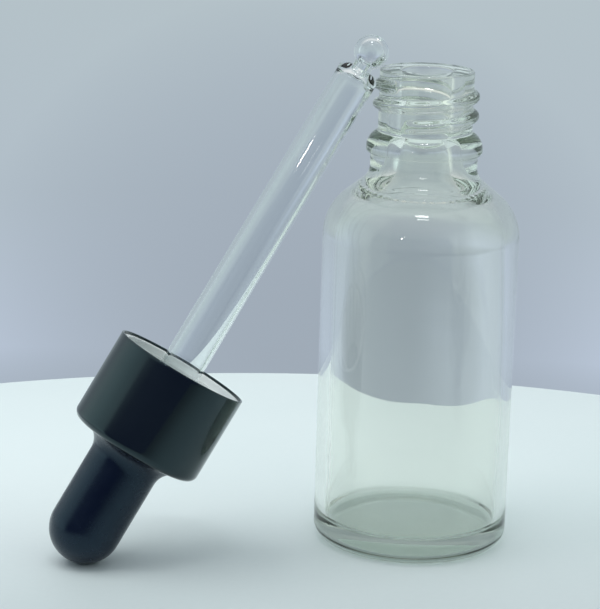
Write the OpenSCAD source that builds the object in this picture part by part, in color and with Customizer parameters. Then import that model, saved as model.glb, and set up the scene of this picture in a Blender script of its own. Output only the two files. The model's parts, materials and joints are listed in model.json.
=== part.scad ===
// Glass dropper bottle with its dropper taken off and leant against the neck.
// Five pieces: the bottle, the glass pipette, the rubber bulb, the screw cap and its metal shell.
// Millimetres. The origin is the centre of the bottle's base and +Z runs up the bottle.
// The dropper stands upside down on its bulb, on the -X side, and leans towards +X.

/* [Bottle body] */
// Outer diameter of the body
body_d = 33; // [30:0.5:38]
// Height at which the straight side starts to curve into the shoulder
side_h = 52.9; // [46:0.1:60]
// Thickness of the glass in the body and the shoulder
glass_wall = 2; // [1.6:0.1:2.4]
// Thickness of the glass at the edge of the floor
floor_t = 3.7; // [3:0.1:5]
// Height by which the inner floor swells in the middle
floor_rise = 0.6; // [0.3:0.1:1]
// Radius between the inner wall and the floor
floor_r = 2.6; // [1.5:0.1:4]
// Radius of the heel between the foot and the side
heel_r = 2; // [1:0.1:3]
// Width of the flat ring that the bottle stands on
foot_w = 1.9; // [1:0.1:3]
// Height of the hollow under the base
punt_h = 1.1; // [0.6:0.1:1.6]
// Radius of the curve from the side into the shoulder
shoulder_r = 9; // [7:0.1:10]
// Slope of the shoulder above level, in degrees
shoulder_slope = 39; // [32:1:44]
// Radius of the hollow curve from the shoulder into the neck
neck_fillet_r = 3.2; // [2:0.1:4.5]
// Radius of the same curve on the inside, where the hollow narrows to the bore
bore_fillet_r = 5.5; // [4:0.1:7]

/* [Bottle neck] */
// Bore through the neck
bore_d = 8.4; // [8.2:0.1:9.8]
// Outer diameter of the collar below the ring
collar_d = 17.9; // [17.4:0.1:18.6]
// Height of the straight collar below the ring
collar_h = 2.3; // [1:0.1:5]
// Diameter over the ring under the thread
ring_d = 19.4; // [19:0.1:20]
// Height from the underside of the ring to the lip
finish_h = 13.8; // [13.4:0.1:14.4]
// Radius of the ring's lower edge
ring_edge_r = 0.45; // [0.2:0.05:0.6]
// Height of the ring's upright edge above its lower radius
ring_edge_h = 0.3; // [0.1:0.1:0.8]
// Radius of the ring's rounded upper side
ring_top_r = 3.1; // [2.6:0.1:3.6]
// Radius where the ring's upper side meets the neck
ring_fillet_r = 0.6; // [0.3:0.1:1]
// Outer diameter of the neck at the root of the thread
neck_d = 15.7; // [15.2:0.1:16]
// Diameter over the crest of the thread
thread_d = 17.7; // [17.3:0.1:18]
// Rise of the thread in one turn
thread_pitch = 3.2; // [3:0.05:3.4]
// Radius of the thread's rounded section
thread_r = 0.9; // [0.85:0.05:1]
// Depth of the top crest below the lip, on the side where the dropper leans
thread_drop = 2.45; // [2.2:0.05:2.8]
// Turn that the thread makes past its top crest before it runs out, in degrees
thread_over = 10; // [5:5:60]
// Turn that the thread makes at its lower end, before the crest that faces away from the dropper
thread_under = 115; // [60:5:130]
// Radius of the bend by which each end of the thread sinks into the neck
thread_end_r = 3.5; // [3:0.1:6]
// Radius of the lip's outer edge
lip_r = 0.35; // [0.25:0.05:0.8]
// Radius of the lip's inner edge
lip_bore_r = 0.5; // [0.2:0.1:0.8]

/* [Pipette] */
// Outer diameter of the glass tube
tube_d = 7; // [6.4:0.1:7.4]
// Inner diameter of the glass tube
tube_bore = 5; // [4.4:0.1:5.4]
// Length of the tube that stands into the bulb's air chamber
tube_in = 1.6; // [1.2:0.1:2.4]
// Diameter of the bead that keeps the tube from slipping out of the bulb
stop_d = 8; // [7.8:0.1:8.4]
// Diameter of the ball at the tip
ball_d = 5.7; // [5:0.1:6.4]
// Thickness of the glass in the ball
ball_wall = 0.9; // [0.7:0.1:1.2]
// Outer diameter of the drawn neck before the ball
tip_neck_d = 3.2; // [2.8:0.1:3.8]
// Length of the drawn neck between the tube's shoulder and the ball
tip_neck_l = 0.9; // [0.5:0.1:2]
// Bore through the drawn neck
tip_bore = 1.4; // [1.2:0.1:1.8]
// Hole in the end of the ball
orifice_d = 1; // [0.8:0.1:1.2]
// Radius of the tube's rounded shoulder at the drawn neck
tip_shoulder_r = 1.3; // [0.8:0.1:1.5]

/* [Bulb] */
// Outer diameter of the bulb
bulb_d = 12.1; // [11.4:0.1:12.8]
// Length of the bulb that stands out of the cap
bulb_out = 21.4; // [18:0.1:26]
// Thickness of the rubber
bulb_wall = 1.3; // [1:0.1:1.6]
// Diameter of the collar where the bulb passes through the top of the cap
bulb_collar_d = 14.3; // [14:0.1:14.8]
// Radius of the hollow curve from the bulb into its collar
bulb_flare_r = 2.8; // [2:0.1:3.6]
// Thickness of the flange that holds the bulb in the cap and seals on the lip
flange_t = 1.8; // [1.4:0.1:2.4]
// Length of the thick rubber that grips the tube above the cap
grip_h = 5; // [3.8:0.1:6]

/* [Screw cap] */
// Height of the metal shell
shell_h = 15.8; // [15:0.1:18]
// Thickness of the sheet metal
shell_t = 0.4; // [0.3:0.05:0.5]
// Radius of the shell's rounded top edge
shell_edge_r = 1.4; // [0.8:0.1:2]
// Length by which the shell reaches past the mouth of the inner cap
shell_past = 0.4; // [0.2:0.1:0.8]
// Thickness of the inner cap's wall
cap_wall = 1.76; // [1.6:0.02:2.3]
// Thickness of the inner cap's top
cap_top_t = 1.2; // [1:0.1:1.6]
// Radius of the rounded section of the inner cap's thread
cap_thread_r = 0.9; // [0.85:0.05:1]
// Distance from the bulb's flange to the start of the inner cap's thread
cap_thread_in = 2.4; // [2:0.1:3]
// Half turns of thread in the inner cap
cap_half_turns = 3; // [2:1:4]

/* [Fits and placing] */
// Angle round the tube's rounded shoulder at which it hooks on the thread, in degrees
hook = 20; // [0:1:40]
// Gap between the tube's shoulder and the thread that it hooks on
hook_gap = 0.3; // [0.2:0.05:0.6]
// Gap between the tip and the bottle's floor when the cap is screwed down
tip_gap = 1.5; // [0.5:0.1:4]
// Radial clearance of the tube in the bulb
tube_fit = 0.05; // [0.02:0.01:0.1]
// Radial clearance of the bulb's collar in the inner cap, which turns on it
collar_fit = 0.08; // [0.04:0.01:0.1]
// Gap between the bulb's flange and the underside of the inner cap
flange_gap = 0.1; // [0.05:0.05:0.2]
// Gap between the edge of the bulb's flange and the wall of the inner cap
flange_side_gap = 0.6; // [0.3:0.1:0.8]
// Radial clearance between the inner cap and the shell
shell_fit = 0.04; // [0.02:0.01:0.1]
// Gap round the bulb's collar in the top of the shell
shell_hole_gap = 0.25; // [0.1:0.05:0.5]
// Radial clearance between the neck's thread and the inner cap's
thread_fit = 0.4; // [0.2:0.05:0.5]
// Gap between the ring on the neck and the mouth of the closed cap
relief_gap = 0.3; // [0.2:0.05:0.4]

/* [Hidden] */
$fn = 96;

// Steps in each drawn arc
arc_n = 10;
// Depth by which the ends of the neck's thread are buried
sunk = 0.12;
// Turn by which one stretch of thread reaches inside the next, and how much thinner it is there
lap = 3;
lap_step = 0.02;

// Bottle: radii
body_r = body_d / 2;
collar_r = collar_d / 2;
ring_r = ring_d / 2;
neck_r = neck_d / 2;
bore_r = bore_d / 2;
inner_r = body_r - glass_wall;
foot_inner = body_r - heel_r - foot_w;

// Bottle: heights, from the shoulder up
turn = 90 - shoulder_slope;
collar_z = shoulder_top(body_r, shoulder_r, collar_r, neck_fillet_r);
ring_z = collar_z + collar_h;
lip_z = ring_z + finish_h;
bore_z = shoulder_top(inner_r, shoulder_r - glass_wall, bore_r, bore_fillet_r);

// Ring under the thread: the centre of its upper side, and of the fillet above that
ring_top = [ring_r - ring_top_r, ring_z + ring_edge_r + ring_edge_h];
fillet_out = neck_r + ring_fillet_r - ring_top.x;
ring_meet = acos(fillet_out / (ring_top_r + ring_fillet_r));
ring_fillet = ring_top + [fillet_out, fillet_out * tan(ring_meet)];

// Neck thread: the radius of its centre line and the height of its top crest
line_r = thread_d / 2 - thread_r;
thread_top_z = lip_z - thread_drop;

// Dropper: radii
tube_r = tube_d / 2;
tube_bore_r = tube_bore / 2;
ball_r = ball_d / 2;
tip_neck_r = tip_neck_d / 2;
tip_bore_r = tip_bore / 2;
bulb_r = bulb_d / 2;
bulb_collar_r = bulb_collar_d / 2;
cap_bore_r = thread_d / 2 + thread_fit;
cap_r = cap_bore_r + cap_wall;
shell_r = cap_r + shell_fit + shell_t;
cap_line_r = neck_r + thread_fit + cap_thread_r;
flange_r = cap_bore_r - flange_side_gap;

// Dropper: places along its own axis, from the round end of the bulb
shell_z = bulb_out;
cap_z = shell_z + shell_t;
flange_z = cap_z + cap_top_t + flange_gap;
seal_z = flange_z + flange_t;
mouth_z = shell_z + shell_h;
cap_mouth_z = mouth_z - shell_past;
grip_z = shell_z - grip_h;
tube_end_z = grip_z - tube_in;
tip_z = seal_z + lip_z - floor_t - floor_rise - tip_gap;
ball_z = tip_z - ball_r;
tip_shoulder_z = ball_z - sqrt(pow(ball_r, 2) - pow(tip_neck_r, 2)) - tip_neck_l - tip_shoulder_r;

// Where the closed cap's wall has to open out to clear the ring on the neck
ring_clear = acos((cap_bore_r - relief_gap - ring_top.x) / ring_top_r);
relief_z = seal_z + lip_z - ring_top.y - ring_top_r * sin(ring_clear) - relief_gap;

// Lean: the top crest's place seen from the centre of the bulb's round end, along and across
hook_r = tip_shoulder_r + thread_r + hook_gap;
crest_along = tip_shoulder_z - bulb_r + hook_r * sin(hook);
crest_across = tube_r - tip_shoulder_r + hook_r * cos(hook);
crest_angle = acos((thread_top_z - bulb_r) / norm([crest_along, crest_across]));
lean = crest_angle - atan2(crest_across, crest_along);
foot_x = line_r + (thread_top_z - bulb_r) * tan(crest_angle);

// Height at which a curve from the side, through the slope, comes upright at the neck
function shoulder_top(side, side_curve, neck, neck_curve) =
    side_h + side_curve * sin(turn) + neck_curve * sin(turn)
    + (side - neck - (side_curve + neck_curve) * (1 - cos(turn))) * tan(shoulder_slope);

// Points of an arc about a centre
function arc(centre, r, from, to) =
    [for (i = [0:arc_n]) let (a = from + (to - from) * i / arc_n) centre + r * [cos(a), sin(a)]];

// Points of a shallow dome, from its middle out to its edge at radius r
function dome(r, height, base) =
    [for (i = [0:arc_n]) [r * i / arc_n, base + height * (1 - pow(i / arc_n, 2))]];

// Points in the opposite order, and points without the first
function back(points) = [for (i = [len(points) - 1:-1:0]) points[i]];
function tail(points) = [for (i = [1:len(points) - 1]) points[i]];

// Points from the side, over the shoulder and up to the neck
function shoulder(side, side_curve, neck, neck_curve) = concat(
    arc([side - side_curve, side_h], side_curve, 0, turn),
    arc(
        [neck + neck_curve, shoulder_top(side, side_curve, neck, neck_curve)],
        neck_curve, 180 + turn, 180
    )
);

// One half turn of a thread, right-handed: it starts on +X at height 0 and climbs to -X
module half_turn(centre_r, section_r, from = 0, to = 180) {
    rise = thread_pitch / 2;
    tilted(centre_r, rise)
        rotate_extrude(angle = to - from, start = from)
            translate([norm([centre_r, rise / 2]), 0])
                circle(r = section_r);
}

// Half turn that is a hair thinner, with ends that reach inside the full ones before and after it
module seated_turn(centre_r, section_r, from = -lap, to = 180 + lap) {
    half_turn(centre_r, section_r - lap_step, from, to);
}

// Plane of a half turn: a ring tilted so that its two ends lie a half pitch apart
module tilted(centre_r, rise) {
    translate([0, 0, rise / 2])
        rotate([0, atan2(rise / 2, centre_r), 0])
            children();
}

// Run of half turns that climbs from height 0, full ones and seated ones by turns
module turns(count, centre_r, section_r) {
    for (i = [0:count - 1])
        translate([0, 0, i * thread_pitch / 2])
            rotate([0, 0, 180 * i])
                if (i % 2 == 0) half_turn(centre_r, section_r);
                else seated_turn(centre_r, section_r);
}

// Tighter bend that sinks the end of the neck's thread into the glass, on from the angle given
module run_out(at, way) {
    rise = thread_pitch / 2;
    offset_r = norm([line_r, rise / 2]) - thread_end_r;
    buried_r = neck_r - sunk - thread_r;
    reach = pow(buried_r, 2) - pow(offset_r, 2) - pow(thread_end_r, 2);
    sweep = acos(reach / (2 * offset_r * thread_end_r));
    tilted(line_r, rise)
        rotate([0, 0, at])
            translate([offset_r, 0, 0])
                rotate_extrude(angle = sweep + lap, start = way < 0 ? -sweep : -lap)
                    translate([thread_end_r, 0])
                        circle(r = thread_r - 2 * lap_step);
}

// Thread of the neck: three half turns up to the top crest, and a part turn at each end
module neck_thread() {
    rise = thread_pitch / 2;
    count = 3;
    translate([0, 0, thread_top_z - count * rise]) {
        turns(count, line_r, thread_r);
        translate([0, 0, count * rise])
            rotate([0, 0, 180]) {
                seated_turn(line_r, thread_r, to = thread_over);
                run_out(thread_over, 1);
            }
        translate([0, 0, -rise])
            rotate([0, 0, 180]) {
                seated_turn(line_r, thread_r, from = 180 - thread_under);
                run_out(180 - thread_under, -1);
            }
    }
}

// Stands the dropper on its bulb and leans it on the neck
module leant() {
    translate([-foot_x, 0, bulb_r])
        rotate([0, lean, 0])
            translate([0, 0, -bulb_r])
                children();
}

// Glass bottle: hollow body with a pushed-up base, shoulder, ring and threaded neck
module bottle() {
    color([0.78, 0.87, 0.86, 0.45]) {
        rotate_extrude()
            polygon(concat(
                dome(foot_inner, punt_h, 0),
                arc([body_r - heel_r, heel_r], heel_r, -90, 0),
                shoulder(body_r, shoulder_r, collar_r, neck_fillet_r),
                [[collar_r, ring_z]],
                arc([ring_r - ring_edge_r, ring_z + ring_edge_r], ring_edge_r, -90, 0),
                arc(ring_top, ring_top_r, 0, ring_meet),
                tail(arc(ring_fillet, ring_fillet_r, 180 + ring_meet, 180)),
                arc([neck_r - lip_r, lip_z - lip_r], lip_r, 0, 90),
                arc([bore_r + lip_bore_r, lip_z - lip_bore_r], lip_bore_r, 90, 180),
                back(shoulder(inner_r, shoulder_r - glass_wall, bore_r, bore_fillet_r)),
                arc([inner_r - floor_r, floor_t + floor_r], floor_r, 0, -90),
                tail(back(dome(inner_r - floor_r, floor_rise, floor_t)))
            ));
        neck_thread();
    }
}

// Glass pipette: a tube with a stop bead in the bulb and a hollow ball at the tip
module pipette() {
    bead_r = tube_in / 2;
    bead_x = stop_d / 2 - bead_r;
    cavity_r = ball_r - ball_wall;
    bore_curve = tube_bore_r - tip_bore_r;
    bore_end_z = tip_shoulder_z + tip_shoulder_r - (tube_r - tube_bore_r) - bore_curve;
    color([0.82, 0.89, 0.89, 0.45])
        leant()
            rotate_extrude()
                polygon(concat(
                    [[tube_bore_r, tube_end_z]],
                    arc([bead_x, tube_end_z + bead_r], bead_r, -90, acos((tube_r - bead_x) / bead_r)),
                    arc([tube_r - tip_shoulder_r, tip_shoulder_z], tip_shoulder_r, 0, 90),
                    [[tip_neck_r, tip_shoulder_z + tip_shoulder_r]],
                    arc([0, ball_z], ball_r, -acos(tip_neck_r / ball_r), acos(orifice_d / 2 / ball_r)),
                    arc([0, ball_z], cavity_r, acos(orifice_d / 2 / cavity_r), -acos(tip_bore_r / cavity_r)),
                    back(arc([tip_bore_r, bore_end_z], bore_curve, 0, 90))
                ));
}

// Rubber bulb: a round-ended tube with a collar, a sealing flange and a bore that grips the pipette
module bulb() {
    flare = acos(1 - (bulb_collar_r - bulb_r) / bulb_flare_r);
    flare_z = shell_z - bulb_flare_r * sin(flare);
    grip_r = tube_r + tube_fit;
    color([0.1, 0.12, 0.15])
        leant()
            rotate_extrude()
                polygon(concat(
                    arc([0, bulb_r], bulb_r, -90, 0),
                    back(arc([bulb_r + bulb_flare_r, flare_z], bulb_flare_r, 180 - flare, 180)),
                    [[bulb_collar_r, flange_z], [flange_r, flange_z], [flange_r, seal_z]],
                    [[grip_r, seal_z], [grip_r, grip_z], [bulb_r - bulb_wall, grip_z]],
                    arc([0, bulb_r], bulb_r - bulb_wall, 0, -90)
                ));
}

// White inner cap: it turns on the bulb's collar and carries the thread that fits the neck
module inner_cap() {
    edge_r = shell_edge_r - shell_t - shell_fit;
    color([0.93, 0.94, 0.94])
        leant() {
            difference() {
                rotate_extrude()
                    polygon(concat(
                        [[bulb_collar_r + collar_fit, cap_z]],
                        arc([cap_r - edge_r, cap_z + edge_r], edge_r, -90, 0),
                        [[cap_r, cap_mouth_z], [cap_bore_r, cap_mouth_z], [cap_bore_r, cap_z + cap_top_t]],
                        [[bulb_collar_r + collar_fit, cap_z + cap_top_t]]
                    ));
                translate([0, 0, relief_z])
                    cylinder(h = shell_h, r = ring_r + relief_gap);
            }
            translate([0, 0, seal_z + cap_thread_in])
                turns(cap_half_turns, cap_line_r, cap_thread_r);
        }
}

// Black metal shell, drawn over the inner cap
module overshell() {
    inner_r = shell_r - shell_t;
    inner_edge_r = shell_edge_r - shell_t;
    hole_r = bulb_collar_r + shell_hole_gap;
    color([0.13, 0.15, 0.17])
        leant()
            rotate_extrude()
                polygon(concat(
                    [[hole_r, shell_z]],
                    arc([shell_r - shell_edge_r, shell_z + shell_edge_r], shell_edge_r, -90, 0),
                    [[shell_r, mouth_z], [inner_r, mouth_z]],
                    arc([shell_r - shell_edge_r, shell_z + shell_edge_r], inner_edge_r, 0, -90),
                    [[hole_r, shell_z + shell_t]]
                ));
}

bottle();
pipette();
bulb();
inner_cap();
overshell();
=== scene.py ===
import json
import math

import bpy
import numpy as np
from mathutils import Matrix, Vector


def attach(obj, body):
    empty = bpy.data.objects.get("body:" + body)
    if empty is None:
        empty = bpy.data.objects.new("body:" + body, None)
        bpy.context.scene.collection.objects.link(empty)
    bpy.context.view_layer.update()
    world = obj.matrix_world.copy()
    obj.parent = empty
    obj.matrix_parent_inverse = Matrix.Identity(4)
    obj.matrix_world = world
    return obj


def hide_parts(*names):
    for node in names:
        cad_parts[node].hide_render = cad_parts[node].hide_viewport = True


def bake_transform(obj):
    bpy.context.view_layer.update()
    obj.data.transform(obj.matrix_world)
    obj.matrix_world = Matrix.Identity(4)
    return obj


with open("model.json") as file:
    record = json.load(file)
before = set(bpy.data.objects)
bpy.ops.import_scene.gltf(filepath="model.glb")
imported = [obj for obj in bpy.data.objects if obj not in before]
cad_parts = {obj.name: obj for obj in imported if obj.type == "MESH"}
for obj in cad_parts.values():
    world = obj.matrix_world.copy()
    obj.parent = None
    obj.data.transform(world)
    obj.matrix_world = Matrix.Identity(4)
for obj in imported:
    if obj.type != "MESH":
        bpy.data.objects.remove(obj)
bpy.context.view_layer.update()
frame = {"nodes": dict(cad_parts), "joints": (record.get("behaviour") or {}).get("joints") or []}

mm = 0.001
print("frame loaded with", len(frame["nodes"]), "solids")


# camera

camera = {
    "eye": (-146.1, -374.0, 142.9),  # millimetres
    "turn": -18.5,  # degrees about the upright; minus looks to the right
    "tiltDown": 14.34,
    "roll": 1.65,
    "lens": 147.2,
    "sensor": 36.0,
    "clip": (0.02, 20.0),  # metres between which it sees
}
lightTurns = 36  # light turns many times inside the thick foot and the thread before it comes out


def placeCamera(settings):
    data = bpy.data.cameras.new("camera")
    data.lens = settings["lens"]
    data.sensor_fit = "HORIZONTAL"
    data.sensor_width = settings["sensor"]
    data.clip_start, data.clip_end = settings["clip"]
    viewer = bpy.data.objects.new("camera", data)
    bpy.context.collection.objects.link(viewer)
    turned = Matrix.Rotation(math.radians(settings["turn"]), 4, "Z")
    tilted = Matrix.Rotation(math.radians(90 - settings["tiltDown"]), 4, "X")
    rolled = Matrix.Rotation(math.radians(settings["roll"]), 4, "Z")
    moved = Matrix.Translation(Vector(settings["eye"]) * mm)
    viewer.matrix_world = moved @ turned @ tilted @ rolled
    bpy.context.scene.camera = viewer


placeCamera(camera)
bpy.context.scene.view_settings.view_transform = "Standard"
for bounces in ("max_bounces", "transmission_bounces", "glossy_bounces"):
    setattr(bpy.context.scene.cycles, bounces, lightTurns)
print("camera placed")


# lines that the walls of the pieces follow, as (radius, height) points in millimetres

touching = 1e-6  # points this close are one, and a point this close to the axis is on it
crispAngle = 38  # degrees; a sharper edge keeps its crease


def arcLine(centre, radius, start, end, steps):
    points = []
    for step in range(steps + 1):
        angle = math.radians(start + (end - start) * step / steps)
        points.append((centre[0] + radius * math.cos(angle), centre[1] + radius * math.sin(angle)))
    return points


def straightLine(start, end, steps):
    points = []
    for step in range(steps + 1):
        share = step / steps
        points.append(tuple(a + (b - a) * share for a, b in zip(start, end)))
    return points


def domeLine(radius, rise, base, steps):
    points = []
    for step in range(steps + 1):
        share = step / steps
        points.append((radius * share, base + rise * (1 - share * share)))
    return points


def backwards(points):
    return list(reversed(points))


def smoothStep(value, low, high):
    share = np.clip((np.asarray(value, dtype=float) - low) / (high - low), 0, 1)
    return share * share * (3 - 2 * share)


def riseAndFall(value, foot, low, high, top):
    return smoothStep(value, foot, low) * (1 - smoothStep(value, high, top))


def spinWall(name, wall, segments, place=None):
    # wall: stretches of (points, relief) that follow each other round the closed wall; a relief
    # takes the angles, a radius and a height, and gives how far the wall stands out there
    angles = np.linspace(0, 2 * math.pi, segments, endpoint=False)
    rows = []
    for points, relief in wall:
        for radius, height in points:
            offset = relief(angles, radius, height) if relief else 0.0
            row = (radius, height, offset)
            if not rows or math.dist(rows[-1][:2], (radius, height)) > touching:
                rows.append(row)
            elif relief:
                rows[-1] = row
    vertices = []
    firsts = []
    for radius, height, offset in rows:
        firsts.append(len(vertices))
        if radius < touching:
            vertices.append((0, 0, height * mm))
            continue
        radii = (radius + offset) * np.ones(segments) * mm
        for x, y in zip(radii * np.cos(angles), radii * np.sin(angles)):
            vertices.append((x, y, height * mm))
    pairs = list(zip(range(len(rows) - 1), range(1, len(rows))))
    if rows[0][0] > touching:  # a wall that starts off the axis closes on itself
        pairs.append((len(rows) - 1, 0))
    faces = []
    for low, high in pairs:
        a, b = firsts[low], firsts[high]
        lowPole, highPole = rows[low][0] < touching, rows[high][0] < touching
        for here in range(segments):
            there = (here + 1) % segments
            if lowPole:
                faces.append((a, b + there, b + here))
            elif highPole:
                faces.append((a + here, a + there, b))
            else:
                faces.append((a + here, a + there, b + there, b + here))
    mesh = bpy.data.meshes.new(name)
    mesh.from_pydata(vertices, [], faces)
    mesh.validate()
    mesh.shade_smooth()
    mesh.set_sharp_from_angle(angle=math.radians(crispAngle))
    if place is not None:
        mesh.transform(place)
    piece = bpy.data.objects.new(name, mesh)
    bpy.context.collection.objects.link(piece)
    return piece


# node materials

def newFinish(name):
    finish = bpy.data.materials.new(name)
    finish.use_nodes = True
    return finish, finish.node_tree.nodes, finish.node_tree.links, finish.node_tree.nodes["Principled BSDF"]


def surfacePoints(nodes, links, place=None, scale=(1, 1, 1)):
    # points in the piece's own upright frame, so that a grain can run along it or round it
    source = nodes.new("ShaderNodeTexCoord")
    upright = nodes.new("ShaderNodeMapping")
    upright.vector_type = "TEXTURE"
    if place is not None:
        upright.inputs["Location"].default_value = place.to_translation()
        upright.inputs["Rotation"].default_value = place.to_euler()
    stretched = nodes.new("ShaderNodeMapping")
    stretched.inputs["Scale"].default_value = scale
    links.new(source.outputs["Object"], upright.inputs["Vector"])
    links.new(upright.outputs["Vector"], stretched.inputs["Vector"])
    return stretched.outputs["Vector"]


def noiseField(nodes, links, points, scale, detail=2.0, roughness=0.5):
    noise = nodes.new("ShaderNodeTexNoise")
    noise.inputs["Scale"].default_value = scale
    noise.inputs["Detail"].default_value = detail
    noise.inputs["Roughness"].default_value = roughness
    links.new(points, noise.inputs["Vector"])
    return noise.outputs["Fac"]


def remap(nodes, links, value, low, high, fromLow=0.3, fromHigh=0.7, smooth=False):
    node = nodes.new("ShaderNodeMapRange")
    node.interpolation_type = "SMOOTHSTEP" if smooth else "LINEAR"
    node.inputs["From Min"].default_value = fromLow
    node.inputs["From Max"].default_value = fromHigh
    node.inputs["To Min"].default_value = low
    node.inputs["To Max"].default_value = high
    links.new(value, node.inputs["Value"])
    return node.outputs["Result"]


def layered(nodes, links, share, under, over):
    # under and over are colours, or what another node gives
    mix = nodes.new("ShaderNodeMix")
    mix.data_type = "RGBA"
    links.new(share, mix.inputs["Factor"])
    for side, colour in (("A", under), ("B", over)):
        if isinstance(colour, tuple):
            mix.inputs[side].default_value = (*colour, 1)
        else:
            links.new(colour, mix.inputs[side])
    return mix.outputs["Result"]


def colourBlend(nodes, links, value, first, second):
    return layered(nodes, links, remap(nodes, links, value, 0, 1), first, second)


def alignment(nodes, links, vector, direction):
    dot = nodes.new("ShaderNodeVectorMath")
    dot.operation = "DOT_PRODUCT"
    dot.inputs[1].default_value = direction
    links.new(vector, dot.inputs[0])
    return dot.outputs["Value"]


def product(nodes, links, first, second):
    node = nodes.new("ShaderNodeMath")
    node.operation = "MULTIPLY"
    links.new(first, node.inputs[0])
    links.new(second, node.inputs[1])
    return node.outputs["Value"]


def bumpFrom(nodes, links, value, strength, distance):
    bump = nodes.new("ShaderNodeBump")
    bump.inputs["Strength"].default_value = strength
    bump.inputs["Distance"].default_value = distance
    links.new(value, bump.inputs["Height"])
    return bump.outputs["Normal"]


def heelTinge(nodes, links, points, settings, above):
    # thick glass near the foot looks greener than the thin wall
    apart = nodes.new("ShaderNodeSeparateXYZ")
    links.new(points, apart.inputs["Vector"])
    low, high = (height * settings["stretch"][2] * mm for height in settings["heelHeights"])  # as stretched
    share = remap(nodes, links, apart.outputs["Z"], 0, 1, fromLow=low, fromHigh=high, smooth=True)
    return layered(nodes, links, share, settings["heelTone"], above)


def glassFinish(name, settings, place=None):
    finish, nodes, links, shader = newFinish(name)
    points = surfacePoints(nodes, links, place, settings["stretch"])
    shader.inputs["IOR"].default_value = settings["ior"]
    shader.inputs["Transmission Weight"].default_value = 1.0
    shader.inputs["Specular IOR Level"].default_value = settings["gloss"]
    tone = noiseField(nodes, links, points, settings["toneScale"], detail=1.0)
    tinge = colourBlend(nodes, links, tone, *settings["tones"])
    if "heelTone" in settings:
        tinge = heelTinge(nodes, links, points, settings, tinge)
    links.new(tinge, shader.inputs["Base Color"])
    haze = noiseField(nodes, links, points, settings["hazeScale"], detail=3.0, roughness=0.6)
    roughness = remap(nodes, links, haze, *settings["roughness"], fromLow=0.45, fromHigh=0.75)
    links.new(roughness, shader.inputs["Roughness"])
    ripple = noiseField(nodes, links, points, settings["rippleScale"], detail=1.5)
    links.new(bumpFrom(nodes, links, ripple, 1.0, settings["rippleDepth"] * mm), shader.inputs["Normal"])
    body = nodes.new("ShaderNodeVolumeAbsorption")
    body.inputs["Color"].default_value = (*settings["bodyColour"], 1)
    body.inputs["Density"].default_value = settings["density"]
    output = nodes["Material Output"]
    links.new(body.outputs["Volume"], output.inputs["Volume"])
    # lamps shine through the glass, so it doesn't stand in a black shadow of its own
    path = nodes.new("ShaderNodeLightPath")
    see = nodes.new("ShaderNodeBsdfTransparent")
    see.inputs["Color"].default_value = (*settings["shadowTint"], 1)
    either = nodes.new("ShaderNodeMixShader")
    links.new(path.outputs["Is Shadow Ray"], either.inputs["Fac"])
    links.new(shader.outputs["BSDF"], either.inputs[1])
    links.new(see.outputs["BSDF"], either.inputs[2])
    links.new(either.outputs["Shader"], output.inputs["Surface"])
    return finish


# glass bottle

bottle = {
    "bodyRadius": 16.5,
    "sideTop": 52.9,
    "wall": 2.0,
    "floor": 4.0,
    "floorSwell": 0.65,
    "floorCorner": 1.3,
    "heelCorner": 2.6,
    "footInner": 12.6,  # the foot stands on a ring outside this
    "hollowUnder": 0.5,
    "shoulderCurve": 9.0,
    "shoulderSlope": 39.0,
    "innerSlope": 29.0,  # the glass thickens towards the neck
    "neckCurve": 3.2,
    "boreCurve": 7.0,
    "collarRadius": 8.95,
    "collarFoot": 64.833,
    "collarTop": 67.133,
    "boreRadius": 4.2,
    "boreFoot": 66.85,
    "ringRadius": 9.7,
    "ringEdge": 0.45,
    "ringUpright": 0.3,
    "ringCrown": 3.1,
    "ringFillet": 0.6,
    "neckRadius": 7.85,
    "lipTop": 80.933,
    "lipOuter": 0.35,
    "lipInner": 0.5,
    "segments": 384,
}
neckThread = {
    "crestRadius": 8.85,
    "halfWidth": 1.2,  # of the ridge where it meets the neck
    "pitch": 3.2,
    "topCrest": 78.483,  # height of the top crest, on the side the dropper leans on
    "turnsDown": 655.0,  # degrees of thread below that crest
    "turnsUp": 10.0,
    "fade": 26.0,  # degrees over which each end sinks into the neck
    "fullness": 1.5,  # above 1 the ridge stands fuller
}
mouldSeam = {
    "stands": 0.02,
    "width": 0.16,
    "at": 12.0,  # degrees round the bottle, and again on the other side
}
settleWave = {
    "height": 0.85,  # extra glass inside the lower part of the body
    "foot": 10.0,
    "crest": (34.0, 37.0),  # it is full between these heights
    "top": 64.0,
    # where it dies out: degrees round the bottle, by how much, half width in degrees
    "thinSides": ((161.5, 0.95, 85.0), (-18.5, 0.8, 72.0)),
    "thinnest": 0.2,  # share of the half width where it has died out in full
}
blownWall = {
    # slow waves of the blown wall: depth, how many round, turn with height, start
    "outside": ((0.012, 2, 0.045, 0.0), (0.0072, 3, -0.11, 1.3)),
    "outsideSunk": 0.0192,  # so that no wave stands out of the mould
    "inside": ((0.07, 2, 0.0, 0.7), (0.05, 3, -0.09, 0.0)),
    "insideSunk": 0.12,
    "insideFrom": (6.0, 12.0),  # heights where the inner waves start and where they are full
}
innerBead = {  # the rippled ring that the blowing leaves inside the shoulder
    "height": 59.9,
    "width": 0.18,
    "stands": 0.12,
    "bumps": 46,
    "bumpDepth": 0.5,
    "groups": 7,  # the bumps come and go this many times round
    "groupStart": 0.4,
}
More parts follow.
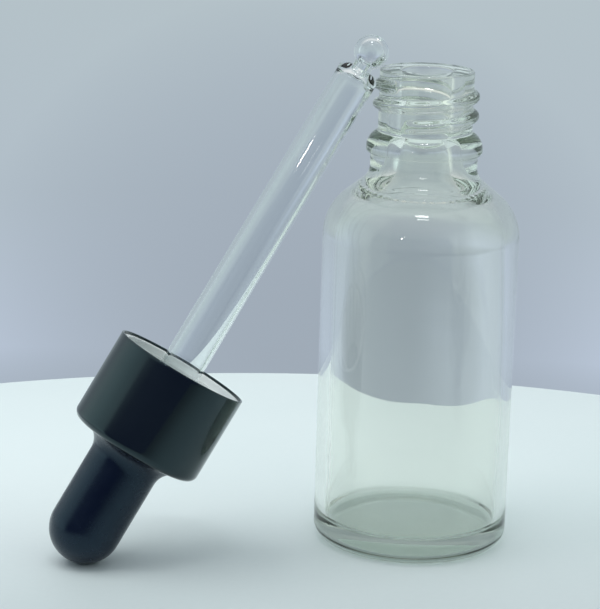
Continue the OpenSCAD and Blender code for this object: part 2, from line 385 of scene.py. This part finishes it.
bottleGlass = {
    "ior": 1.5,
    "gloss": 0.5,
    "stretch": (1, 1, 0.6),
    "toneScale": 30.0,
    "tones": ((0.985, 0.994, 0.968), (0.972, 0.983, 0.955)),
    "hazeScale": 140.0,
    "roughness": (0.0, 0.05),  # where it is clean, and where it is hazy
    "rippleScale": 120.0,
    "rippleDepth": 0.02,
    "bodyColour": (0.36, 0.445, 0.336),
    "density": 24.0,
    "heelTone": (0.70, 0.74, 0.71),
    "heelHeights": (3.2, 3.95),
    "shadowTint": (0.91, 0.93, 0.925),
}


def ridgeReach(angles, height, thread, root):
    reach = np.zeros_like(angles)
    degrees = np.degrees(angles) - 180.0  # round from the top crest
    low, high = -thread["turnsDown"], thread["turnsUp"]
    for lap in range(-3, 2):  # the laps of the thread that cross this side
        along = degrees + 360.0 * lap
        middle = thread["topCrest"] + thread["pitch"] * along / 360.0
        away = np.clip(np.abs(height - middle) / thread["halfWidth"], 0, 1)
        bulge = (thread["crestRadius"] - root) * 0.5 * (1 + np.cos(math.pi * away ** thread["fullness"]))
        fade = riseAndFall(along, low - thread["fade"], low, high, high + thread["fade"])
        reach = np.maximum(reach, bulge * fade)
    return reach


def wallWaves(waves, sunk, angles, height):
    swell = sunk
    for depth, count, turn, start in waves:
        swell = swell + depth * np.cos(count * angles + turn * height + start)
    return swell


def outerWaves(angles, height):
    return wallWaves(blownWall["outside"], blownWall["outsideSunk"], angles, height)


def neckRelief(angles, radius, height):
    return ridgeReach(angles, height, neckThread, bottle["neckRadius"]) - outerWaves(angles, height)


def outerRelief(angles, radius, height):
    away = np.sin(angles - math.radians(mouldSeam["at"])) * radius
    seam = mouldSeam["stands"] * np.exp(-(away / mouldSeam["width"]) ** 2)
    return seam - outerWaves(angles, height)


def settledGlass(angles, height):
    wave = settleWave
    full = np.ones_like(angles)
    for side, loss, halfWidth in wave["thinSides"]:
        away = np.abs(np.degrees(np.angle(np.exp(1j * (angles - math.radians(side))))))
        full = full - loss * (1 - smoothStep(away, halfWidth * wave["thinnest"], halfWidth))
    return wave["height"] * full * riseAndFall(height, wave["foot"], *wave["crest"], wave["top"])


def shoulderBead(angles, height):
    ring = innerBead
    bead = ring["stands"] * np.exp(-((height - ring["height"]) / ring["width"]) ** 2)
    bumps = np.cos(ring["bumps"] * angles) * np.cos(ring["groups"] * angles + ring["groupStart"])
    return bead * (1 + ring["bumpDepth"] * bumps)


def innerRelief(angles, radius, height):
    waves = wallWaves(blownWall["inside"], blownWall["insideSunk"], angles, height)
    waves = waves * smoothStep(height, *blownWall["insideFrom"])
    return -settledGlass(angles, height) - waves - shoulderBead(angles, height)


def makeBottle():
    b = bottle
    turn = 90 - b["shoulderSlope"]
    side, inner = b["bodyRadius"], b["bodyRadius"] - b["wall"]
    shoulderAt = (side - b["shoulderCurve"], b["sideTop"])
    shoulder = arcLine(shoulderAt, b["shoulderCurve"], 0, turn, 28)
    neckCurveAt = (b["collarRadius"] + b["neckCurve"], b["collarFoot"])
    neckCurve = arcLine(neckCurveAt, b["neckCurve"], 180 + turn, 180, 16)
    crownAt = (b["ringRadius"] - b["ringCrown"], b["collarTop"] + b["ringEdge"] + b["ringUpright"])
    out = b["neckRadius"] + b["ringFillet"] - crownAt[0]
    meet = math.degrees(math.acos(out / (b["ringCrown"] + b["ringFillet"])))
    filletAt = (crownAt[0] + out, crownAt[1] + out * math.tan(math.radians(meet)))
    edgeAt = (b["ringRadius"] - b["ringEdge"], b["collarTop"] + b["ringEdge"])
    neckTop = (b["neckRadius"], b["lipTop"] - b["lipOuter"])
    lipOuterAt = (b["neckRadius"] - b["lipOuter"], b["lipTop"] - b["lipOuter"])
    lipInnerAt = (b["boreRadius"] + b["lipInner"], b["lipTop"] - b["lipInner"])
    within = 90 - b["innerSlope"]
    innerShoulder = arcLine(shoulderAt, b["shoulderCurve"] - b["wall"], 0, within, 24)
    boreCurveAt = (b["boreRadius"] + b["boreCurve"], b["boreFoot"])
    boreCurve = arcLine(boreCurveAt, b["boreCurve"], 180 + within, 180, 60)
    outer = (
        domeLine(b["footInner"], b["hollowUnder"], 0, 12)
        + straightLine((b["footInner"], 0), (side - b["heelCorner"], 0), 4)
    )
    body = (
        arcLine((side - b["heelCorner"], b["heelCorner"]), b["heelCorner"], -90, 0, 14)
        + straightLine((side, b["heelCorner"]), (side, b["sideTop"]), 60)
        + shoulder
        + straightLine(shoulder[-1], neckCurve[0], 8)
        + neckCurve
        + straightLine(neckCurve[-1], (b["collarRadius"], b["collarTop"]), 8)
    )
    ring = (
        straightLine((b["collarRadius"], b["collarTop"]), (edgeAt[0], b["collarTop"]), 2)
        + arcLine(edgeAt, b["ringEdge"], -90, 0, 8)
        + arcLine(crownAt, b["ringCrown"], 0, meet, 16)
        + arcLine(filletAt, b["ringFillet"], 180 + meet, 180, 8)
    )
    neck = straightLine((b["neckRadius"], filletAt[1]), neckTop, 110)
    lip = (
        arcLine(lipOuterAt, b["lipOuter"], 0, 90, 10)
        + straightLine((lipOuterAt[0], b["lipTop"]), (lipInnerAt[0], b["lipTop"]), 6)
        + arcLine(lipInnerAt, b["lipInner"], 90, 180, 8)
        + straightLine((b["boreRadius"], lipInnerAt[1]), (b["boreRadius"], b["boreFoot"]), 20)
        + backwards(boreCurve)
    )
    inside = (
        straightLine(boreCurve[0], innerShoulder[-1], 70)
        + backwards(innerShoulder)
        + straightLine((inner, b["sideTop"]), (inner, b["floor"] + b["floorCorner"]), 60)
    )
    floor = (
        arcLine((inner - b["floorCorner"], b["floor"] + b["floorCorner"]), b["floorCorner"], 0, -90, 14)
        + backwards(domeLine(inner - b["floorCorner"], b["floorSwell"], b["floor"], 16))
    )
    wall = [(outer, None), (body, outerRelief), (ring, outerRelief), (neck, neckRelief), (lip, None)]
    wall += [(inside, innerRelief), (floor, None)]
    piece = spinWall("bottleGlass", wall, b["segments"])
    piece.data.materials.append(glassFinish("bottleGlass", bottleGlass))
    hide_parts("bottle")
    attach(piece, "bottle_body")
    print("bottle made,", len(piece.data.polygons), "faces")


makeBottle()


# the dropper is built standing up on its bulb, with the foot of the bulb at height 0

pipette = {
    "radius": 3.5,
    "bore": 2.85,
    "foot": 14.8,  # its lower end, inside the bulb
    "bead": 4.0,  # the stop bead at that end
    "beadHeight": 1.6,
    "shoulderAt": 92.6245,  # the tube draws in from here up
    "shoulderCurve": 1.3,
    "tipNeck": 1.6,  # between the tube and the ball
    "tipBore": 0.7,
    "ballAt": 97.183,
    "ballRadius": 2.85,
    "ballWall": 0.9,
    "orifice": 0.5,
    "segments": 128,
}
pipetteGlass = {
    "ior": 1.5,
    "gloss": 0.34,
    "stretch": (1, 1, 0.15),
    "toneScale": 40.0,
    "tones": ((0.95, 0.965, 0.97), (0.935, 0.95, 0.955)),
    "hazeScale": 200.0,
    "roughness": (0.0, 0.04),
    "rippleScale": 160.0,
    "rippleDepth": 0.006,
    "bodyColour": (0.55, 0.75, 0.72),
    "density": 18.0,
    "shadowTint": (0.93, 0.95, 0.95),
}


def makePipette(place):
    p = pipette
    beadRadius = p["beadHeight"] / 2
    beadAt = (p["bead"] - beadRadius, p["foot"] + beadRadius)
    beadEnd = math.degrees(math.acos((p["radius"] - beadAt[0]) / beadRadius))
    cavity = p["ballRadius"] - p["ballWall"]
    narrowing = p["bore"] - p["tipBore"]
    narrowAt = p["shoulderAt"] + p["shoulderCurve"] - (p["radius"] - p["bore"]) - narrowing
    ballStart = -math.degrees(math.acos(p["tipNeck"] / p["ballRadius"]))
    ballEnd = math.degrees(math.acos(p["orifice"] / p["ballRadius"]))
    cavityStart = -math.degrees(math.acos(p["tipBore"] / cavity))
    cavityEnd = math.degrees(math.acos(p["orifice"] / cavity))
    bead = arcLine(beadAt, beadRadius, -90, beadEnd, 12)
    shoulder = arcLine((p["radius"] - p["shoulderCurve"], p["shoulderAt"]), p["shoulderCurve"], 0, 90, 14)
    ball = arcLine((0, p["ballAt"]), p["ballRadius"], ballStart, ballEnd, 32)
    hollow = arcLine((0, p["ballAt"]), cavity, cavityEnd, cavityStart, 28)
    narrow = backwards(arcLine((p["tipBore"], narrowAt), narrowing, 0, 90, 16))
    wall = (
        [(p["bore"], p["foot"])]
        + bead
        + straightLine(bead[-1], shoulder[0], 60)
        + shoulder
        + straightLine(shoulder[-1], (p["tipNeck"], p["shoulderAt"] + p["shoulderCurve"]), 2)
        + straightLine((p["tipNeck"], p["shoulderAt"] + p["shoulderCurve"]), ball[0], 6)
        + ball
        + hollow
        + straightLine(hollow[-1], narrow[0], 8)
        + narrow
        + straightLine(narrow[-1], (p["bore"], p["foot"]), 60)
    )
    piece = spinWall("pipetteGlass", [(wall[:-1], None)], p["segments"], place)
    piece.data.materials.append(glassFinish("pipetteGlass", pipetteGlass, place))
    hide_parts("pipette")
    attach(piece, "stem")
    print("pipette made,", len(piece.data.polygons), "faces")


bulb = {
    "radius": 6.05,
    "wall": 1.3,
    "collarRadius": 7.15,
    "skirtRadius": 7.95,  # where it flares out against the shell
    "skirtTop": 21.28,
    "skirtLip": 0.25,
    "skirtEdge": 0.12,
    "flareCurve": 3.5,
    "flangeRadius": 8.65,
    "flangeFoot": 23.1,
    "flangeTop": 24.9,
    "gripFoot": 16.4,
    "gripRadius": 3.55,
    "soft": 0.18,  # corners of the moulded flange
    "segments": 160,
    "blendFrom": 21.4,  # from here up it stays with the tube
    "blendTo": 6.0,  # and from here down it moves fully when squeezed
}
rubber = {
    "tones": ((0.002, 0.003, 0.009), (0.004, 0.006, 0.015)),
    "toneScale": 110.0,
    "roughness": (0.20, 0.32),
    "patchScale": 260.0,
    "ior": 1.52,
    "gloss": (0.5, 0.78, 1.0),  # tint of what it mirrors
    "grainScale": 2600.0,
    "grainDepth": 0.02,
    "grainStrength": 0.6,
    "sheen": 0.03,
    "sheenSpread": 0.4,
    "sheenTint": (0.62, 0.72, 0.86),
}


def rubberFinish(place):
    finish, nodes, links, shader = newFinish("navyBlackRubber")
    points = surfacePoints(nodes, links, place)
    cloud = noiseField(nodes, links, points, rubber["toneScale"], detail=3.0)
    links.new(colourBlend(nodes, links, cloud, *rubber["tones"]), shader.inputs["Base Color"])
    patches = noiseField(nodes, links, points, rubber["patchScale"], detail=3.0, roughness=0.6)
    links.new(remap(nodes, links, patches, *rubber["roughness"]), shader.inputs["Roughness"])
    grain = noiseField(nodes, links, points, rubber["grainScale"], roughness=0.6)
    bump = bumpFrom(nodes, links, grain, rubber["grainStrength"], rubber["grainDepth"] * mm)
    links.new(bump, shader.inputs["Normal"])
    shader.inputs["IOR"].default_value = rubber["ior"]
    shader.inputs["Specular Tint"].default_value = (*rubber["gloss"], 1)
    shader.inputs["Sheen Weight"].default_value = rubber["sheen"]
    shader.inputs["Sheen Roughness"].default_value = rubber["sheenSpread"]
    shader.inputs["Sheen Tint"].default_value = (*rubber["sheenTint"], 1)
    return finish


def makeBulb(place):
    b = bulb
    flare = math.degrees(math.acos(1 - (b["skirtRadius"] - b["radius"]) / b["flareCurve"]))
    flareFoot = b["skirtTop"] - b["skirtLip"] - b["flareCurve"] * math.sin(math.radians(flare))
    flareAt = (b["radius"] + b["flareCurve"], flareFoot)
    inner = b["radius"] - b["wall"]
    soft, edge = b["soft"], b["skirtEdge"]
    outerDome = arcLine((0, b["radius"]), b["radius"], -90, 0, 28)
    flareLine = backwards(arcLine(flareAt, b["flareCurve"], 180 - flare, 180, 14))
    wall = (
        outerDome
        + straightLine(outerDome[-1], flareLine[0], 24)
        + flareLine
        + arcLine((b["skirtRadius"] - edge, b["skirtTop"] - edge), edge, -30, 90, 6)
        + straightLine((b["collarRadius"], b["skirtTop"]), (b["collarRadius"], b["flangeFoot"]), 4)
        + arcLine((b["flangeRadius"] - soft, b["flangeFoot"] + soft), soft, -90, 0, 5)
        + arcLine((b["flangeRadius"] - soft, b["flangeTop"] - soft), soft, 0, 90, 5)
        + arcLine((b["gripRadius"] + soft, b["flangeTop"] - soft), soft, 90, 180, 5)
        + straightLine((b["gripRadius"], b["flangeTop"] - soft), (b["gripRadius"], b["gripFoot"]), 12)
        + straightLine((b["gripRadius"], b["gripFoot"]), (inner, b["gripFoot"]), 2)
        + straightLine((inner, b["gripFoot"]), (inner, b["radius"]), 14)
        + backwards(arcLine((0, b["radius"]), inner, -90, 0, 24))
    )
    piece = spinWall("rubberBulb", [(wall, None)], b["segments"], place)
    piece.data.materials.append(rubberFinish(place))
    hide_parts("bulb")
    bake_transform(piece)
    print("bulb made,", len(piece.data.polygons), "faces")


threadedCap = {
    "outer": 11.01,
    "bore": 9.25,
    "topHole": 7.23,  # the collar of the bulb passes through it
    "foot": 21.8,
    "topThickness": 1.2,
    "mouth": 36.8,
    "edge": 0.96,
    "soft": 0.15,
    "reliefAt": 35.628,  # the mouth is wider from here up
    "reliefRadius": 10.0,
    "threadStart": 27.3,
    "threadLine": 9.15,  # the middle of the round ridge runs here
    "threadSection": 0.9,
    "threadTurns": 540.0,  # degrees
    "pitch": 3.2,
    "fade": 14.0,
    "segments": 256,
}
whitePlastic = {
    "tones": ((0.66, 0.70, 0.71), (0.73, 0.76, 0.76)),
    "toneScale": 90.0,
    "roughness": (0.3, 0.48),
    "scuffScale": 420.0,
    "scuffDepth": 0.01,
    "scuffStrength": 0.3,
    "milky": 0.12,  # how much light spreads inside it
    "milkyRadius": (0.9, 1.0, 1.0),
    "milkyReach": 0.6,
}


def capThreadRelief(angles, radius, height):
    c = threadedCap
    reach = np.zeros_like(angles)
    for lap in range(3):
        along = np.degrees(angles) + 360.0 * lap
        middle = c["threadStart"] + c["pitch"] * along / 360.0
        inside = c["threadSection"] ** 2 - (height - middle) ** 2
        bulge = c["bore"] - c["threadLine"] + np.sqrt(np.clip(inside, 0, None))
        fade = riseAndFall(along, 0, c["fade"], c["threadTurns"] - c["fade"], c["threadTurns"])
        reach = np.maximum(reach, np.where(inside > 0, bulge * fade, 0))
    return -reach


def plasticFinish(place):
    finish, nodes, links, shader = newFinish("whitePlastic")
    points = surfacePoints(nodes, links, place)
    cloud = noiseField(nodes, links, points, whitePlastic["toneScale"])
    links.new(colourBlend(nodes, links, cloud, *whitePlastic["tones"]), shader.inputs["Base Color"])
    scuffs = noiseField(nodes, links, points, whitePlastic["scuffScale"], detail=4.0, roughness=0.65)
    links.new(remap(nodes, links, scuffs, *whitePlastic["roughness"]), shader.inputs["Roughness"])
    bump = bumpFrom(nodes, links, scuffs, whitePlastic["scuffStrength"], whitePlastic["scuffDepth"] * mm)
    links.new(bump, shader.inputs["Normal"])
    shader.inputs["Subsurface Weight"].default_value = whitePlastic["milky"]
    shader.inputs["Subsurface Radius"].default_value = whitePlastic["milkyRadius"]
    shader.inputs["Subsurface Scale"].default_value = whitePlastic["milkyReach"] * mm
    return finish


def makeThreadedCap(place):
    c = threadedCap
    topInside = c["foot"] + c["topThickness"]
    edgeAt = (c["outer"] - c["edge"], c["foot"] + c["edge"])
    soft = c["soft"]
    outside = (
        [(c["topHole"], c["foot"])]
        + arcLine(edgeAt, c["edge"], -90, 0, 10)
        + straightLine((c["outer"], edgeAt[1]), (c["outer"], c["mouth"] - soft), 20)
        + arcLine((c["outer"] - soft, c["mouth"] - soft), soft, 0, 90, 4)
        + arcLine((c["reliefRadius"] + soft, c["mouth"] - soft), soft, 90, 180, 4)
        + straightLine((c["reliefRadius"], c["mouth"] - soft), (c["reliefRadius"], c["reliefAt"]), 3)
    )
    bore = straightLine((c["bore"], c["reliefAt"]), (c["bore"], topInside), 120)
    top = [(c["topHole"], topInside)]
    wall = [(outside, None), (bore, capThreadRelief), (top, None)]
    piece = spinWall("threadedCap", wall, c["segments"], place)
    piece.data.materials.append(plasticFinish(place))
    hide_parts("inner_cap")
    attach(piece, "cap")
    print("threaded cap made,", len(piece.data.polygons), "faces")


metalShell = {
    "outer": 11.45,
    "sheet": 0.4,
    "foot": 21.4,
    "mouth": 37.2,
    "edge": 1.4,
    "hole": 7.4,
    "rim": 0.12,  # its rolled edges
    "segments": 256,
}
anodised = {
    "tones": ((0.0045, 0.006, 0.0075), (0.009, 0.012, 0.013)),
    "toneScale": 70.0,
    "roughness": (0.06, 0.11),
    "smudgeScale": 160.0,
    "lineScale": 9000.0,
    "lineDepth": 0.004,
    "lineStrength": 0.35,
    "ior": 1.6,
    "anisotropy": 0.35,
    "gloss": (0.6, 0.9, 1.0),  # tint of what it mirrors
}


def anodisedFinish(place):
    finish, nodes, links, shader = newFinish("blackAnodised")
    points = surfacePoints(nodes, links, place)
    cloud = noiseField(nodes, links, points, anodised["toneScale"])
    links.new(colourBlend(nodes, links, cloud, *anodised["tones"]), shader.inputs["Base Color"])
    smudge = noiseField(nodes, links, points, anodised["smudgeScale"], detail=4.0, roughness=0.6)
    links.new(remap(nodes, links, smudge, *anodised["roughness"]), shader.inputs["Roughness"])
    # fine lines that run round the shell
    split = nodes.new("ShaderNodeSeparateXYZ")
    links.new(points, split.inputs["Vector"])
    lines = nodes.new("ShaderNodeTexNoise")
    lines.noise_dimensions = "1D"
    lines.inputs["Scale"].default_value = anodised["lineScale"]
    lines.inputs["Detail"].default_value = 2.0
    links.new(split.outputs["Z"], lines.inputs["W"])
    bump = bumpFrom(nodes, links, lines.outputs["Fac"], anodised["lineStrength"], anodised["lineDepth"] * mm)
    links.new(bump, shader.inputs["Normal"])
    shader.inputs["IOR"].default_value = anodised["ior"]
    shader.inputs["Specular Tint"].default_value = (*anodised["gloss"], 1)
    shader.inputs["Anisotropic"].default_value = anodised["anisotropy"]
    return finish


def makeMetalShell(place):
    s = metalShell
    edgeAt = (s["outer"] - s["edge"], s["foot"] + s["edge"])
    inner = s["outer"] - s["sheet"]
    rim = s["rim"]
    wall = (
        arcLine((s["hole"] + rim, s["foot"] + rim), rim, 180, 270, 4)
        + straightLine((s["hole"] + rim, s["foot"]), (edgeAt[0], s["foot"]), 6)
        + arcLine(edgeAt, s["edge"], -90, 0, 18)
        + straightLine((s["outer"], edgeAt[1]), (s["outer"], s["mouth"] - rim), 30)
        + arcLine((s["outer"] - rim, s["mouth"] - rim), rim, 0, 90, 5)
        + arcLine((inner + rim, s["mouth"] - rim), rim, 90, 180, 5)
        + straightLine((inner, s["mouth"] - rim), (inner, edgeAt[1]), 16)
        + arcLine(edgeAt, s["edge"] - s["sheet"], 0, -90, 14)
        + straightLine((edgeAt[0], s["foot"] + s["sheet"]), (s["hole"], s["foot"] + s["sheet"]), 4)
    )
    piece = spinWall("metalShell", [(wall, None)], s["segments"], place)
    piece.data.materials.append(anodisedFinish(place))
    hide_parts("overshell")
    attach(piece, "cap")
    print("metal shell made,", len(piece.data.polygons), "faces")


def dropperPlace():
    turning = [joint for joint in frame["joints"] if joint["name"] == "cap_turn"][0]
    axis = Vector(turning["axis"]).normalized()
    leaning = Vector((0, 0, 1)).rotation_difference(axis).to_matrix().to_4x4()
    # the joint sits at the middle of the bulb's round end
    lowered = Matrix.Translation((0, 0, -bulb["radius"] * mm))
    return Matrix.Translation(Vector(turning["pos_m"])) @ leaning @ lowered


leant = dropperPlace()
makePipette(leant)
makeBulb(leant)
makeThreadedCap(leant)
makeMetalShell(leant)


# table, room and lights

table = {
    "centre": (-36.0, -64.0),
    "radius": 172.5,
    "top": -0.03,  # a hair below the feet, so that glass and table don't share a face
    "thickness": 9.0,
    "edge": 1.5,
    "segments": 256,
    "tones": ((0.75, 0.843, 0.86), (0.79, 0.873, 0.89)),
    "toneScale": 14.0,
    "roughness": (0.5, 0.65),
    "speckScale": 900.0,
    "speckDepth": 0.03,
    "speckStrength": 0.15,
    # painted shade: the colour the table darkens to on the side towards the viewer
    "frontPaintedShade": (0.13, 0.16, 0.18),
    "paintedShadeFrom": -50.0,  # painted shade darkens the table between these distances towards the viewer
    "paintedShadeTo": 192.0,
}
room = {
    "viewer": -111.4,  # degrees from +X at which the viewer stands
    # what lies round the table: degrees above level, and its light there
    "light": (
        (-90, (0.60, 0.66, 0.68)),
        (-17.2, (0.36, 0.42, 0.50)),
        (-16.2, (0.42, 0.49, 0.58)),
        (-15.4, (0.51, 0.59, 0.71)),
        (-11.9, (0.44, 0.515, 0.58)),
        (-7.0, (0.46, 0.54, 0.58)),
        (12, (0.42, 0.49, 0.54)),
        (30, (0.52, 0.58, 0.61)),
        (46, (0.74, 0.78, 0.80)),
        (90, (0.88, 0.91, 0.91)),
    ),
    # each zone has its middle, in degrees from +X and above level, then how many degrees away from
    # there it is still full and where it ends, then the degrees above level where it starts, is full,
    # is still full and ends
    "zones": (
        {  # wall ahead
            "middle": (71.5, -15),
            "sides": (1, 8),
            "heights": (-90, -80, 10, 20),
            "light": (0.352, 0.41, 0.478),
        },
        {  # bright side on the left
            "middle": (158.6, 0),
            "sides": (22, 42),
            "heights": (-14, 4, 30, 42),
            "light": (0.80, 0.97, 0.98),
        },
        {  # bright side on the right
            "middle": (-43.4, 0),
            "sides": (20, 55),
            "heights": (-40, -30, 30, 42),
            "light": (0.95, 1.09, 1.02),
        },
        {  # dark behind the viewer
            "middle": (-121.4, 0),
            "sides": (47, 53),
            "heights": (-30, -20, 21, 28),
            "light": (0.055, 0.08, 0.19),
        },
    ),
    "glow": (0.48, 0.55, 0.58),  # stray light in the dark zone, seen through glass only
    "patches": 0.05,  # how much the light varies from place to place
    "patchScale": 2.2,
}
lamps = {
    "overhead": {
        "at": (-150, 20, 230),
        "size": (170, 170),
        "power": 0.22,
        "colour": (1.0, 0.99, 0.96),
        "mirrored": False,  # whether glass and gloss show it
    },
    "ceiling": {
        "at": (-66, -169, 733),
        "size": (135, 60),
        "power": 0.4,
        "colour": (1.0, 1.0, 1.0),
        "mirrored": True,
    },
    "spark": {
        "at": (-334, -345, 257),
        "size": (13, 13),
        "power": 0.07,
        "colour": (1.0, 1.0, 1.0),
        "mirrored": True,
    },
}


def directionOf(turn, above):
    turn, above = math.radians(turn), math.radians(above)
    return Vector((math.cos(above) * math.cos(turn), math.cos(above) * math.sin(turn), math.sin(above)))


def makeTable():
    t = table
    top = (
        [(0, -t["thickness"])]
        + arcLine((t["radius"] - t["edge"], -t["thickness"] + t["edge"]), t["edge"], -90, 0, 6)
        + arcLine((t["radius"] - t["edge"], -t["edge"]), t["edge"], 0, 90, 8)
        + [(0, 0)]
    )
    place = Matrix.Translation((t["centre"][0] * mm, t["centre"][1] * mm, t["top"] * mm))
    piece = spinWall("table", [(top, None)], t["segments"], place)
    finish, nodes, links, shader = newFinish("paleTable")
    points = surfacePoints(nodes, links)
    cloud = noiseField(nodes, links, points, t["toneScale"], detail=3.0)
    tone = colourBlend(nodes, links, cloud, *t["tones"])
    # painted shade: the table's colour darkens towards the viewer, standing in for shade over the near table
    share = alignment(nodes, links, points, directionOf(room["viewer"], 0))
    share = remap(nodes, links, share, 0, 1, t["paintedShadeFrom"] * mm, t["paintedShadeTo"] * mm, smooth=True)
    links.new(layered(nodes, links, share, tone, t["frontPaintedShade"]), shader.inputs["Base Color"])
    speck = noiseField(nodes, links, points, t["speckScale"], detail=3.0)
    links.new(bumpFrom(nodes, links, speck, t["speckStrength"], t["speckDepth"] * mm), shader.inputs["Normal"])
    links.new(remap(nodes, links, speck, *t["roughness"]), shader.inputs["Roughness"])
    piece.data.materials.append(finish)


def makeRoom():
    world = bpy.data.worlds.new("room")
    bpy.context.scene.world = world
    world.use_nodes = True
    nodes, links = world.node_tree.nodes, world.node_tree.links
    source = nodes.new("ShaderNodeTexCoord").outputs["Generated"]
    ramp = nodes.new("ShaderNodeValToRGB")
    upward = alignment(nodes, links, source, Vector((0, 0, 1)))
    links.new(remap(nodes, links, upward, 0, 1, -1, 1), ramp.inputs["Fac"])
    elements = ramp.color_ramp.elements
    while len(elements) < len(room["light"]):
        elements.new(0.5)
    for element, (above, colour) in zip(elements, room["light"]):
        element.position = 0.5 + 0.5 * math.sin(math.radians(above))
        element.color = (*colour, 1)
    light = ramp.outputs["Color"]
    path = nodes.new("ShaderNodeLightPath")
    for zone in room["zones"]:
        near = alignment(nodes, links, source, directionOf(*zone["middle"]))
        full, none = (math.cos(math.radians(side)) for side in zone["sides"])
        across = remap(nodes, links, near, 0, 1, none, full)
        foot, low, high, top = (math.sin(math.radians(angle)) for angle in zone["heights"])
        above = remap(nodes, links, upward, 0, 1, foot, low)
        below = remap(nodes, links, upward, 1, 0, high, top)
        share = product(nodes, links, product(nodes, links, across, above), below)
        light = layered(nodes, links, share, light, zone["light"])
    # share is now that of the last zone, the dark one
    through = product(nodes, links, share, path.outputs["Is Transmission Ray"])
    light = layered(nodes, links, through, light, room["glow"])
    links.new(light, nodes["Background"].inputs["Color"])
    cloud = noiseField(nodes, links, source, room["patchScale"])
    strength = remap(nodes, links, cloud, 1 - room["patches"], 1 + room["patches"])
    links.new(strength, nodes["Background"].inputs["Strength"])


def placeLamps():
    for name, lamp in lamps.items():
        data = bpy.data.lights.new(name, "AREA")
        data.shape = "RECTANGLE"
        data.size, data.size_y = (side * mm for side in lamp["size"])
        data.energy = lamp["power"]
        data.color = lamp["colour"]
        light = bpy.data.objects.new(name, data)
        bpy.context.collection.objects.link(light)
        where = Vector(lamp["at"]) * mm
        light.location = where
        light.rotation_mode = "QUATERNION"
        light.rotation_quaternion = (-where).to_track_quat("-Z", "Y")
        light.visible_camera = False
        light.visible_glossy = lamp["mirrored"]
        light.visible_transmission = lamp["mirrored"]


makeTable()
makeRoom()
placeLamps()
print("table, room and lamps placed")
